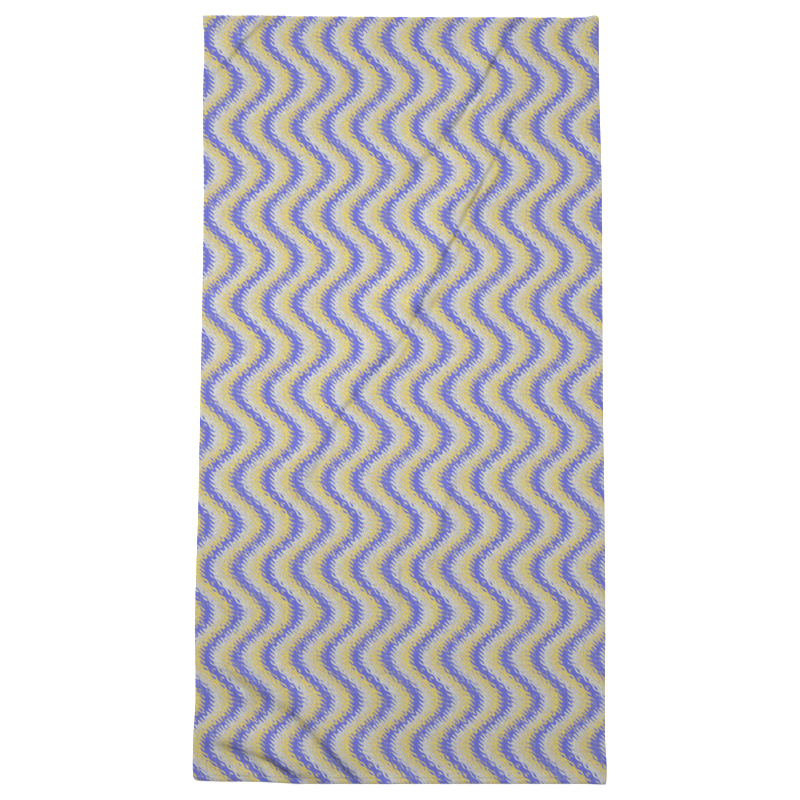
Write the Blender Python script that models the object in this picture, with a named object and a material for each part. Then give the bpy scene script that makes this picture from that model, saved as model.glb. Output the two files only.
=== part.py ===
"""A printed bath towel lying face up on a flat surface, with the creases it has as it lies.

Metres, with +X across the towel, +Y along it towards its upper end and +Z up. The origin is
under the middle of the towel, on the surface. The towel is one cloth with a turned hem.
"""

import math
from typing import NamedTuple

import bmesh
import bpy
import numpy as np
from mathutils.geometry import delaunay_2d_cdt

# The cloth
CLOTH_THICKNESS = 0.003
HEM_THICKNESS = 0.0044
HEM_WIDTH = 0.011
HEM_STEP = 0.0018
EDGE_ROUNDING = 0.0012
CLOTH_COLOUR = (0.445, 0.413, 0.423, 1.0)
CLOTH_ROUGHNESS = 0.95

# How finely the cloth is divided
EDGE_SPACING = 0.030
EDGE_SPACING_AT_FOLD = 0.010
CREASE_SPACING = 0.024
CREASE_SAMPLE = 0.004
CORNER_STEPS = 4
LEAST_GAP = 0.0035
LEAST_LIFT = 0.0002
ACROSS_STEEP_SIDE = (0.0, 0.25, 0.5, 0.75, 1.0)
ACROSS_GENTLE_SIDE = (0.22, 0.48, 0.74, 1.0)
TRIANGLES_INSIDE = 1
MERGE_DISTANCE = 1e-5


class SideRow(NamedTuple):
    """Where the towel's long edges stand at one place along it."""

    y: float
    left: float
    right: float


class EndRow(NamedTuple):
    """How far out a short edge reaches at one place across the towel."""

    x: float
    y: float


class Station(NamedTuple):
    """A place on a crease and the height of its crest there."""

    x: float
    y: float
    rise: float


class Crease(NamedTuple):
    """A low fold: its stations run down the middle of its steep side, which falls to their left."""

    name: str
    steep: float
    gentle: float
    stations: tuple


SIDES = (
    SideRow(-0.7080, -0.3795, 0.3803),
    SideRow(-0.6820, -0.3811, 0.3811),
    SideRow(-0.6230, -0.3806, 0.3784),
    SideRow(-0.5650, -0.3770, 0.3778),
    SideRow(-0.4170, -0.3774, 0.3786),
    SideRow(-0.1820, -0.3711, 0.3768),
    SideRow(-0.0050, -0.3676, 0.3742),
    SideRow(0.1720, -0.3640, 0.3732),
    SideRow(0.4070, -0.3612, 0.3717),
    SideRow(0.5540, -0.3627, 0.3678),
    SideRow(0.6720, -0.3607, 0.3665),
    SideRow(0.7080, -0.3634, 0.3668),
)
UPPER_END = (
    EndRow(-0.3634, 0.7078),
    EndRow(-0.2150, 0.7073),
    EndRow(-0.1900, 0.7061),
    EndRow(0.1300, 0.7042),
    EndRow(0.3370, 0.7036),
    EndRow(0.3560, 0.7076),
    EndRow(0.3668, 0.7078),
)
LOWER_END = (
    EndRow(-0.3795, -0.7005),
    EndRow(-0.3306, -0.7026),
    EndRow(-0.2600, -0.7027),
    EndRow(-0.1900, -0.7068),
    EndRow(0.3400, -0.7068),
    EndRow(0.3803, -0.7084),
)
# Lower left, lower right, upper right, upper left
CORNER_ROUNDINGS = (0.009, 0.004, 0.006, 0.002)
HEM_CORNER_ROUNDING = 0.002

CREASES = (
    Crease(
        name="upper",
        steep=0.019,
        gentle=0.060,
        stations=(
            Station(0.2160, 0.7150, 0.0035),
            Station(0.1850, 0.6450, 0.0052),
            Station(0.1473, 0.5774, 0.0062),
            Station(0.1014, 0.5095, 0.0055),
            Station(0.0372, 0.4361, 0.0025),
            Station(-0.0087, 0.3810, 0.0),
        ),
    ),
    Crease(
        name="main",
        steep=0.020,
        gentle=0.090,
        stations=(
            Station(0.2160, 0.6250, 0.0),
            Station(0.2030, 0.5300, 0.0042),
            Station(0.1841, 0.4673, 0.0065),
            Station(0.1253, 0.3516, 0.0080),
            Station(0.0684, 0.2378, 0.0080),
            Station(0.0005, 0.1092, 0.0072),
            Station(-0.0730, 0.0211, 0.0060),
            Station(-0.1226, -0.0468, 0.0055),
            Station(-0.1611, -0.1294, 0.0038),
            Station(-0.2107, -0.2121, 0.0),
        ),
    ),
    Crease(
        name="beside_main",
        steep=0.012,
        gentle=0.012,
        stations=(
            Station(0.2140, 0.5000, 0.0),
            Station(0.1500, 0.3450, 0.0025),
            Station(0.0900, 0.2250, 0.0026),
            Station(0.0220, 0.1000, 0.0022),
            Station(-0.0380, 0.0250, 0.0),
        ),
    ),
    Crease(
        name="lower_left_long",
        steep=0.019,
        gentle=0.050,
        stations=(
            Station(-0.0720, -0.7150, 0.0060),
            Station(-0.1464, -0.6343, 0.0095),
            Station(-0.1923, -0.5884, 0.0105),
            Station(-0.2382, -0.5480, 0.0100),
            Station(-0.2841, -0.5187, 0.0090),
            Station(-0.3484, -0.4691, 0.0060),
            Station(-0.3900, -0.4400, 0.0030),
        ),
    ),
    Crease(
        name="lower_left_corner",
        steep=0.019,
        gentle=0.042,
        stations=(
            Station(-0.1800, -0.7180, 0.0070),
            Station(-0.2382, -0.6619, 0.0095),
            Station(-0.2749, -0.6472, 0.0090),
            Station(-0.3208, -0.6343, 0.0078),
            Station(-0.3900, -0.6220, 0.0060),
        ),
    ),
    Crease(
        name="upper_left_corner",
        steep=0.016,
        gentle=0.035,
        stations=(
            Station(-0.2280, 0.7200, 0.0045),
            Station(-0.2933, 0.6509, 0.0052),
            Station(-0.3520, 0.5780, 0.0),
        ),
    ),
    Crease(
        name="upper_right_corner",
        steep=0.013,
        gentle=0.030,
        stations=(
            Station(0.3500, 0.5700, 0.0),
            Station(0.3089, 0.6325, 0.0026),
            Station(0.2800, 0.7150, 0.0018),
        ),
    ),
    Crease(
        name="middle_right",
        steep=0.015,
        gentle=0.036,
        stations=(
            Station(0.1200, -0.1100, 0.0),
            Station(0.0831, -0.2029, 0.0030),
            Station(0.0700, -0.2600, 0.0028),
            Station(0.0400, -0.3500, 0.0),
        ),
    ),
    Crease(
        name="middle_left",
        steep=0.014,
        gentle=0.034,
        stations=(
            Station(0.0060, -0.1100, 0.0),
            Station(-0.0040, -0.1900, 0.0018),
            Station(0.0000, -0.3300, 0.0028),
            Station(-0.0014, -0.4250, 0.0),
        ),
    ),
)


def smooth_between(places, values, at):
    """The cubic curve through the values at their places, read at each of the places asked for."""
    slopes = np.gradient(values, places)
    first = np.clip(np.searchsorted(places, at) - 1, 0, len(places) - 2)
    span = places[first + 1] - places[first]
    share = np.clip((at - places[first]) / span, 0.0, 1.0)
    rest = 1.0 - share
    return (
        rest * rest * (1.0 + 2.0 * share) * values[first]
        + share * share * (3.0 - 2.0 * share) * values[first + 1]
        + share * rest * rest * span * slopes[first]
        - share * share * rest * span * slopes[first + 1]
    )


def column(rows, name):
    """One named column of a table."""
    return np.array([getattr(row, name) for row in rows])


def left_edge(y):
    return smooth_between(column(SIDES, "y"), column(SIDES, "left"), y)


def right_edge(y):
    return smooth_between(column(SIDES, "y"), column(SIDES, "right"), y)


def upper_edge(x):
    return np.interp(x, column(UPPER_END, "x"), column(UPPER_END, "y"))


def lower_edge(x):
    return np.interp(x, column(LOWER_END, "x"), column(LOWER_END, "y"))


def edge_distance(points):
    """How far each point lies inside the nearest of the towel's four edges."""
    x, y = points[:, 0], points[:, 1]
    return np.minimum.reduce(
        [x - left_edge(y), right_edge(y) - x, upper_edge(x) - y, y - lower_edge(x)]
    )


def crease_line(crease, spacing):
    """The crease's places at an even spacing, its direction and its crest height at each."""
    x, y, rise = (column(crease.stations, name) for name in ("x", "y", "rise"))
    along = np.concatenate([[0.0], np.cumsum(np.hypot(np.diff(x), np.diff(y)))])
    at = np.linspace(0.0, along[-1], max(2, round(along[-1] / spacing)) + 1)
    line = np.stack([smooth_between(along, x, at), smooth_between(along, y, at)], axis=1)
    step = np.gradient(line, axis=0)
    direction = step / np.linalg.norm(step, axis=1, keepdims=True)
    return line, direction, smooth_between(along, rise, at)


def half_wave(share):
    """1 at 0, falling smoothly to 0 at 1 and beyond."""
    return 0.5 * (1.0 + np.cos(math.pi * np.clip(share, 0.0, 1.0)))


def crease_lift(crease, points):
    """How far one crease lifts the cloth at each point."""
    line, direction, rise = crease_line(crease, CREASE_SAMPLE)
    apart = np.linalg.norm(points[:, None, :] - line[None, :, :], axis=2)
    nearest = apart.argmin(axis=1)
    out = points - line[nearest]
    along = direction[nearest]
    past_crest = along[:, 0] * out[:, 1] - along[:, 1] * out[:, 0] + crease.steep / 2
    share = np.where(past_crest > 0.0, past_crest / crease.steep, -past_crest / crease.gentle)
    return np.clip(rise[nearest], 0.0, None) * half_wave(share)


def lift(points):
    """How far the underside of the cloth stands off the surface at each point."""
    return sum(crease_lift(crease, points) for crease in CREASES)


def thickness(points):
    """The cloth's thickness at each point: doubled over along its hem."""
    into_hem = (HEM_WIDTH - edge_distance(points)) / HEM_STEP
    return CLOTH_THICKNESS + (HEM_THICKNESS - CLOTH_THICKNESS) * np.clip(into_hem, 0.0, 1.0)


def lower_line(x, inset):
    return np.stack([x, lower_edge(x) + inset], axis=1)


def right_line(y, inset):
    return np.stack([right_edge(y) - inset, y], axis=1)


def upper_line(x, inset):
    return np.stack([x, upper_edge(x) - inset], axis=1)


def left_line(y, inset):
    return np.stack([left_edge(y) + inset, y], axis=1)


def corner_points(inset):
    """Where the four edges would meet if they weren't rounded, anticlockwise from the lower left."""
    low, high = SIDES[0], SIDES[-1]
    return np.array(
        [
            (low.left + inset, LOWER_END[0].y + inset),
            (low.right - inset, LOWER_END[-1].y + inset),
            (high.right - inset, UPPER_END[-1].y - inset),
            (high.left + inset, UPPER_END[0].y - inset),
        ]
    )


def edge_points(line, first, last, inset):
    """Points along one edge, closer together where a crease lifts it."""
    count = round(abs(last - first) / EDGE_SPACING_AT_FOLD)
    points = line(np.linspace(first, last, count + 1), inset)
    kept = lift(points) > LEAST_LIFT
    kept[:: round(EDGE_SPACING / EDGE_SPACING_AT_FOLD)] = True
    kept[-1] = True
    return points[kept]


def rounded_corner(before, corner, after):
    """The curve that turns a corner, without its two ends."""
    share = np.linspace(0.0, 1.0, CORNER_STEPS + 1)[1:-1, None]
    rest = 1.0 - share
    return rest * rest * before + 2.0 * rest * share * corner + share * share * after


def outline(inset):
    """The towel's outline, or a line at an inset inside it, as points in anticlockwise order."""
    corners = corner_points(inset)
    roundings = CORNER_ROUNDINGS if inset == 0.0 else (HEM_CORNER_ROUNDING,) * len(corners)
    edges = ((lower_line, 0), (right_line, 1), (upper_line, 0), (left_line, 1))
    runs = []
    for i, (line, axis) in enumerate(edges):
        following = (i + 1) % len(corners)
        first, last = corners[i][axis], corners[following][axis]
        way = math.copysign(1.0, last - first)
        first += way * roundings[i]
        last -= way * roundings[following]
        runs.append(edge_points(line, first, last, inset))
    points = []
    for i, run in enumerate(runs):
        following = (i + 1) % len(runs)
        points += [run, rounded_corner(run[-1], corners[following], runs[following][0])]
    return np.concatenate(points)


def crease_rows(crease):
    """Lines of points along the crease, on its crest, down its steep side and up its gentle one."""
    line, direction, _ = crease_line(crease, CREASE_SPACING)
    leftward = np.stack([-direction[:, 1], direction[:, 0]], axis=1)
    offsets = [crease.steep * (share - 0.5) for share in ACROSS_STEEP_SIDE]
    offsets += [-crease.steep / 2 - crease.gentle * share for share in ACROSS_GENTLE_SIDE]
    return [line + leftward * offset for offset in offsets]


def cloth_plan():
    """The cloth's points seen from above, and the lines between them that its facets keep to."""
    loops = [outline(0.0), outline(HEM_WIDTH - HEM_STEP), outline(HEM_WIDTH)]
    points = np.concatenate(loops)
    lines = []
    first = 0
    for loop in loops:
        size = len(loop)
        lines += [(first + i, first + (i + 1) % size) for i in range(size)]
        first += size
    for crease in CREASES:
        for row in crease_rows(crease):
            inside = edge_distance(row) > HEM_WIDTH + LEAST_GAP
            previous = None
            for point, is_inside in zip(row, inside):
                gap = np.linalg.norm(points - point, axis=1).min()
                if not is_inside or gap < LEAST_GAP:
                    previous = None
                    continue
                points = np.concatenate([points, point[None, :]])
                if previous is not None:
                    lines.append((previous, len(points) - 1))
                previous = len(points) - 1
    return points, lines, list(range(len(loops[0])))


def cloth_mesh():
    """The towel as one closed mesh: its plan, thickened upwards and lifted along its creases."""
    points, lines, rim = cloth_plan()
    plan = delaunay_2d_cdt([tuple(p) for p in points], lines, [rim], TRIANGLES_INSIDE, MERGE_DISTANCE)
    bm = bmesh.new()
    corners = [bm.verts.new((x, y, 0.0)) for x, y in plan[0]]
    for face in plan[2]:
        bm.faces.new([corners[i] for i in face])
    underside = list(bm.verts)
    extruded = bmesh.ops.extrude_face_region(bm, geom=list(bm.faces), use_keep_orig=True)
    upper_side = [item for item in extruded["geom"] if isinstance(item, bmesh.types.BMVert)]
    for verts, is_upper in ((underside, False), (upper_side, True)):
        flat = np.array([vert.co.xy for vert in verts])
        heights = lift(flat) + (thickness(flat) if is_upper else 0.0)
        for vert, height in zip(verts, heights):
            vert.co.z = height
    bmesh.ops.recalc_face_normals(bm, faces=bm.faces)
    round_the_edge(bm, set(upper_side))
    mesh = bpy.data.meshes.new("towel")
    bm.to_mesh(mesh)
    bm.free()
    return mesh


def round_the_edge(bm, upper_side):
    """Takes the sharp corner off the hem's outer fold, all round the upper side."""
    rim = []
    for wall in bm.faces:
        if all(vert in upper_side for vert in wall.verts):
            continue
        rim += [edge for edge in wall.edges if all(vert in upper_side for vert in edge.verts)]
    bmesh.ops.bevel(
        bm,
        geom=rim,
        offset=EDGE_ROUNDING,
        offset_type="OFFSET",
        segments=1,
        profile=0.5,
        affect="EDGES",
        material=-1,
    )


def towel_material():
    """Printed cotton terry, as the mean colour of its print."""
    material = bpy.data.materials.new("printed_terry")
    material.use_nodes = True
    shader = material.node_tree.nodes["Principled BSDF"]
    shader.inputs["Base Color"].default_value = CLOTH_COLOUR
    shader.inputs["Roughness"].default_value = CLOTH_ROUGHNESS
    shader.inputs["Metallic"].default_value = 0.0
    return material


def main():
    for obj in list(bpy.data.objects):
        bpy.data.objects.remove(obj, do_unlink=True)
    towel = bpy.data.objects.new("towel", cloth_mesh())
    towel.data.materials.append(towel_material())
    towel.data.shade_smooth()
    bpy.context.scene.collection.objects.link(towel)


main()
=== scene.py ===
"""A printed bath towel lying face up on a pale floor, with the creases that it has as it lies.

Metres, with +X across the towel, +Y along it towards its upper end and +Z up out of its printed
face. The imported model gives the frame: this script dresses its one node, the towel, with a fine
sheet of terry cloth, its turned hem and the hem's stitching.
"""

import logging
import math
from dataclasses import dataclass, field
from enum import Enum
from typing import Any, NamedTuple, Sequence

import bmesh
import bpy
import numpy as np
from mathutils import Matrix, Vector
from numpy.typing import NDArray


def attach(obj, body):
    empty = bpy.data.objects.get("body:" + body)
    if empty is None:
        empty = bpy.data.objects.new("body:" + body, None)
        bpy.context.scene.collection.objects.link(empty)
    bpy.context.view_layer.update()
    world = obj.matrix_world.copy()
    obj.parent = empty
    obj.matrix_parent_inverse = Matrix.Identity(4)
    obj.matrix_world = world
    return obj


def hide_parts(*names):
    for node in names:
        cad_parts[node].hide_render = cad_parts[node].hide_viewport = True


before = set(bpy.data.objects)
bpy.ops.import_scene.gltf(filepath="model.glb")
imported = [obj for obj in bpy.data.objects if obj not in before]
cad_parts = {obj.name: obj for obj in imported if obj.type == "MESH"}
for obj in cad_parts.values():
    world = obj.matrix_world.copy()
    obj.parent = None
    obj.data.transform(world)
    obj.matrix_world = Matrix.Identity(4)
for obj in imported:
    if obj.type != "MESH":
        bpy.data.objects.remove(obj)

Numbers = NDArray[np.float64]
Colour = tuple[float, float, float, float]
# What an input is linked to: a node's output, or a node whose first output is meant
Source = bpy.types.Node | bpy.types.NodeSocket

LOG = logging.getLogger("towel")
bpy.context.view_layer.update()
NODE = "towel"
BODY = "root"
MM = 0.001
TURN = 2.0 * math.pi


class SideRow(NamedTuple):
    """Where the towel's long edges stand at one place along it."""

    y: float
    left: float
    right: float


class EndRow(NamedTuple):
    """How far out a short edge reaches at one place across the towel."""

    x: float
    y: float


class Station(NamedTuple):
    """A place on a crease and the height of its crest there."""

    x: float
    y: float
    rise: float


class HatchWave(NamedTuple):
    """One ripple of the print's hatch: how often it turns over a cell, its reach and its start."""

    turns: int
    reach: float
    start: float


class RampStop(NamedTuple):
    """A colour of the print and its place across one stripe, from 0 to 1."""

    place: float
    colour: str


class Face(Enum):
    """The two faces of the cloth."""

    UPPER = "upper"
    UNDER = "under"


# Out of the left, right, lower and upper edge
OUTWARD = np.array([(-1.0, 0.0), (1.0, 0.0), (0.0, -1.0), (0.0, 1.0)])


def linear(hex_colour: str) -> Colour:
    """Turns an sRGB hex colour to the linear one that the shaders take.

    Args:
        hex_colour: Six hex digits.

    Returns:
        Linear red, green and blue, and an alpha of 1.
    """
    shares = [int(hex_colour[i : i + 2], 16) / 255.0 for i in (0, 2, 4)]
    red, green, blue = (c / 12.92 if c <= 0.04045 else ((c + 0.055) / 1.055) ** 2.4 for c in shares)
    return (red, green, blue, 1.0)


def add_node(
    tree: bpy.types.NodeTree, kind: str, inputs: dict[int | str, Any] | None = None, **settings: Any
) -> bpy.types.Node:
    """Adds one shader node with its settings, and fills or links its inputs.

    Args:
        tree: The material's node tree.
        kind: The node's type, without its ShaderNode prefix.
        inputs: For each input by its name or number, a value or the source that it is linked to.
        settings: The node's properties by name.

    Returns:
        The new node.
    """
    node = tree.nodes.new("ShaderNode" + kind)
    for name, value in settings.items():
        setattr(node, name, value)
    for place, value in (inputs or {}).items():
        source = value.outputs[0] if isinstance(value, bpy.types.Node) else value
        if isinstance(source, bpy.types.NodeSocket):
            tree.links.new(source, node.inputs[place])
        else:
            node.inputs[place].default_value = source
    return node


def new_material(name: str) -> bpy.types.Material:
    """Makes a material with an empty node tree.

    Args:
        name: The finish that it is named for.

    Returns:
        The material.
    """
    material = bpy.data.materials.new(name)
    material.use_nodes = True
    material.node_tree.nodes.clear()
    return material


def face_rank(face: bmesh.types.BMFace, point_count: int) -> int:
    """Ranks a face by the three of its points that come first in the shape.

    Args:
        face: The face.
        point_count: How many points the shape has.

    Returns:
        The rank.
    """
    first, second, third = sorted(vert.index for vert in face.verts)[:3]
    return (first * point_count + second) * point_count + third


def finished_mesh(bm: bmesh.types.BMesh, name: str) -> bpy.types.Mesh:
    """Turns a bmesh into a mesh, with its faces in the same order each run, and frees it.

    Args:
        bm: The shape that was built.
        name: The mesh's name.

    Returns:
        The mesh.
    """
    point_count = len(bm.verts)
    bm.verts.index_update()
    bm.faces.sort(key=lambda face: face_rank(face, point_count))
    mesh = bpy.data.meshes.new(name)
    bm.to_mesh(mesh)
    bm.free()
    return mesh


def add_object(data: bpy.types.ID) -> bpy.types.Object:
    """Puts a mesh, lamp or camera into the scene as an object of the same name, at the origin.

    Args:
        data: What the object shows.

    Returns:
        The object.
    """
    made = bpy.data.objects.new(data.name, data)
    bpy.context.scene.collection.objects.link(made)
    return made


def read_all(items: Any, name: str, kind: type, columns: int = 1) -> NDArray[Any]:
    """Reads one property of every item in a mesh's list.

    Args:
        items: The list, such as the mesh's vertices.
        name: The property's name.
        kind: The type of its numbers in the mesh.
        columns: How many numbers it has.

    Returns:
        A row for each item, or one number where it has one.
    """
    values = np.empty(len(items) * columns, kind)
    items.foreach_get(name, values)
    return values.reshape(-1, columns) if columns > 1 else values


def unit(vectors: Numbers) -> Numbers:
    """Scales vectors to a length of 1."""
    return vectors / np.linalg.norm(vectors, axis=1, keepdims=True)


def smooth_between(places: Numbers, values: Numbers, at: Numbers) -> Numbers:
    """Reads the cubic curve through the values at their places.

    Args:
        places: Rising places of the known values.
        values: The known values.
        at: Where the curve is read.

    Returns:
        The curve's value at each place asked for.
    """
    slopes = np.gradient(values, places)
    first = np.clip(np.searchsorted(places, at) - 1, 0, len(places) - 2)
    span = places[first + 1] - places[first]
    share = np.clip((at - places[first]) / span, 0.0, 1.0)
    rest = 1.0 - share
    return (
        rest * rest * (1.0 + 2.0 * share) * values[first]
        + share * share * (3.0 - 2.0 * share) * values[first + 1]
        + share * rest * rest * span * slopes[first]
        - share * share * rest * span * slopes[first + 1]
    )


def column(rows: Sequence[NamedTuple], name: str) -> Numbers:
    """Reads one named column of a table."""
    return np.array([getattr(row, name) for row in rows])


def half_wave(share: Numbers) -> Numbers:
    """Falls smoothly from 1 at 0 to 0 at 1 and beyond."""
    return 0.5 * (1.0 + np.cos(math.pi * np.clip(share, 0.0, 1.0)))


@dataclass
class Outline:
    """The towel's four edges as it lies, seen from above."""

    sides: tuple[SideRow, ...] = (
        SideRow(-0.7080, -0.3795, 0.3803),
        SideRow(-0.6820, -0.3811, 0.3811),
        SideRow(-0.6230, -0.3806, 0.3784),
        SideRow(-0.5650, -0.3770, 0.3778),
        SideRow(-0.4170, -0.3774, 0.3786),
        SideRow(-0.1820, -0.3711, 0.3768),
        SideRow(-0.0050, -0.3676, 0.3742),
        SideRow(0.1720, -0.3640, 0.3732),
        SideRow(0.4070, -0.3612, 0.3717),
        SideRow(0.5540, -0.3627, 0.3678),
        SideRow(0.6720, -0.3607, 0.3665),
        SideRow(0.7080, -0.3634, 0.3668),
    )
    upper_end: tuple[EndRow, ...] = (
        EndRow(-0.3634, 0.7078),
        EndRow(-0.2150, 0.7073),
        EndRow(-0.1900, 0.7061),
        EndRow(0.1300, 0.7042),
        EndRow(0.3370, 0.7036),
        EndRow(0.3560, 0.7076),
        EndRow(0.3668, 0.7078),
    )
    lower_end: tuple[EndRow, ...] = (
        EndRow(-0.3795, -0.7005),
        EndRow(-0.3306, -0.7026),
        EndRow(-0.2600, -0.7027),
        EndRow(-0.1900, -0.7068),
        EndRow(0.3400, -0.7068),
        EndRow(0.3803, -0.7084),
    )
    lower_left_rounding: float = 0.009
    lower_right_rounding: float = 0.004
    upper_right_rounding: float = 0.006
    upper_left_rounding: float = 0.002
    solving_steps: int = 5

    def left(self, y: Numbers) -> Numbers:
        """Reads the left edge at places along the towel."""
        return smooth_between(column(self.sides, "y"), column(self.sides, "left"), y)

    def right(self, y: Numbers) -> Numbers:
        """Reads the right edge at places along the towel."""
        return smooth_between(column(self.sides, "y"), column(self.sides, "right"), y)

    def upper(self, x: Numbers) -> Numbers:
        """Reads the upper edge at places across the towel."""
        return np.interp(x, column(self.upper_end, "x"), column(self.upper_end, "y"))

    def lower(self, x: Numbers) -> Numbers:
        """Reads the lower edge at places across the towel."""
        return np.interp(x, column(self.lower_end, "x"), column(self.lower_end, "y"))

    def between(self, across: Numbers, along: Numbers) -> Numbers:
        """Places points by their share of the way between facing edges and a step from there.

        Args:
            across: For each point, its share of the way from the left edge, and metres added.
            along: The same from the lower edge.

        Returns:
            The points' places seen from above.
        """
        x = np.zeros(len(across))
        y = np.zeros(len(along))
        for _ in range(self.solving_steps):
            low, high = self.lower(x), self.upper(x)
            y = low + along[:, 0] * (high - low) + along[:, 1]
            low, high = self.left(y), self.right(y)
            x = low + across[:, 0] * (high - low) + across[:, 1]
        return np.stack([x, y], axis=1)

    def insets(self, points: Numbers) -> Numbers:
        """Measures how far points lie inside the left, right, lower and upper edge.

        Args:
            points: Places seen from above.

        Returns:
            Four distances for each point.
        """
        x, y = points[:, 0], points[:, 1]
        return np.stack(
            [x - self.left(y), self.right(y) - x, y - self.lower(x), self.upper(x) - y], axis=1
        )

    def rounded(self, points: Numbers) -> Numbers:
        """Draws points near the four corners in, so that the lines along the edges turn in arcs.

        Args:
            points: Places seen from above.

        Returns:
            The moved places.
        """
        insets = self.insets(points)
        moved = points.copy()
        corners = (
            (0, 2, self.lower_left_rounding),
            (1, 2, self.lower_right_rounding),
            (1, 3, self.upper_right_rounding),
            (0, 3, self.upper_left_rounding),
        )
        for side, end, radius in corners:
            from_centre = radius - insets[:, [side, end]]
            near = (from_centre > 0.0).all(axis=1)
            square = from_centre[near]
            arc = square * (square.max(axis=1) / np.linalg.norm(square, axis=1))[:, None]
            inward = np.array([1.0 if side == 0 else -1.0, 1.0 if end == 2 else -1.0])
            moved[near] += (square - arc) * inward
        return moved


@dataclass
class Crease:
    """A low fold: its stations run down the middle of its steep side, which falls to their left.

    Part of the fall is a line down the middle of the steep side, crisp where the crease is high
    and soft where it runs out.
    """

    name: str
    steep: float
    gentle: float
    stations: tuple[Station, ...]
    crisp_share: float = 0.35
    crisp_width: float = 0.42
    sway: float = 0.0009
    sway_length: float = 0.083
    second_sway: float = 0.5
    second_rate: float = 2.3
    second_start: float = 1.0
    swell: float = 0.12
    swell_rate: float = 0.7
    swell_start: float = 2.0
    spacing: float = 0.004
    batch: int = 8192

    def line(self) -> tuple[Numbers, Numbers, Numbers, Numbers]:
        """Reads the crease's smooth line at an even spacing.

        Returns:
            Its places, its direction at each, its crest's height there and the way run so far.
        """
        x, y, rise = (column(self.stations, name) for name in ("x", "y", "rise"))
        along = np.concatenate([[0.0], np.cumsum(np.hypot(np.diff(x), np.diff(y)))])
        at = np.linspace(0.0, along[-1], max(2, round(along[-1] / self.spacing)) + 1)
        line = np.stack([smooth_between(along, x, at), smooth_between(along, y, at)], axis=1)
        step = np.gradient(line, axis=0)
        direction = step / np.linalg.norm(step, axis=1, keepdims=True)
        return line, direction, smooth_between(along, rise, at), at

    def across(self, points: Numbers) -> tuple[Numbers, Numbers]:
        """Measures points against the crease.

        Args:
            points: Places seen from above.

        Returns:
            How far each lies to the left of the line, and the crest's height beside it.
        """
        line, direction, rise, at = self.line()
        lefts, runs = [], []
        for part in np.array_split(points, max(1, len(points) // self.batch)):
            apart = ((part[:, None, :] - line[None, :, :]) ** 2).sum(axis=2)
            nearest = apart.argmin(axis=1)
            out = part - line[nearest]
            along = direction[nearest]
            lefts.append(along[:, 0] * out[:, 1] - along[:, 1] * out[:, 0])
            runs.append(at[nearest] + (out * along).sum(axis=1))
        left, run = np.concatenate(lefts), np.concatenate(runs)
        # No real crease runs quite smoothly or keeps quite the same height
        turn = TURN * (run + self.stations[0].x) / self.sway_length
        second = self.second_sway * np.sin(self.second_rate * turn + self.second_start)
        left += self.sway * (np.sin(turn) + second)
        uneven = 1.0 + self.swell * np.sin(self.swell_rate * turn + self.swell_start)
        return left, np.clip(np.interp(run, at, rise), 0.0, None) * uneven

    def lift(self, points: Numbers) -> Numbers:
        """Measures how far the crease lifts the cloth.

        Args:
            points: Places seen from above.

        Returns:
            The lift at each.
        """
        left, rise = self.across(points)
        past_crest = left + self.steep / 2
        crisp = self.steep * self.crisp_width
        soft_fall = half_wave(past_crest / self.steep)
        crisp_fall = half_wave(left / crisp + 0.5)
        crispness = self.crisp_share * (rise / max(station.rise for station in self.stations)) ** 2
        fall = soft_fall + crispness * (crisp_fall - soft_fall)
        return rise * fall * half_wave(-past_crest / self.gentle)

    def on_steep_side(self, points: Numbers, margin: float, least_rise: float) -> NDArray[np.bool_]:
        """Finds the points that need a finer mesh: on or beside the steep side.

        Args:
            points: Places seen from above.
            margin: How far beside the steep side still counts.
            least_rise: The crest's height under which the crease is left coarse.

        Returns:
            True for each such point.
        """
        left, rise = self.across(points)
        return (np.abs(left) < self.steep / 2 + margin) & (rise > least_rise)


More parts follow.
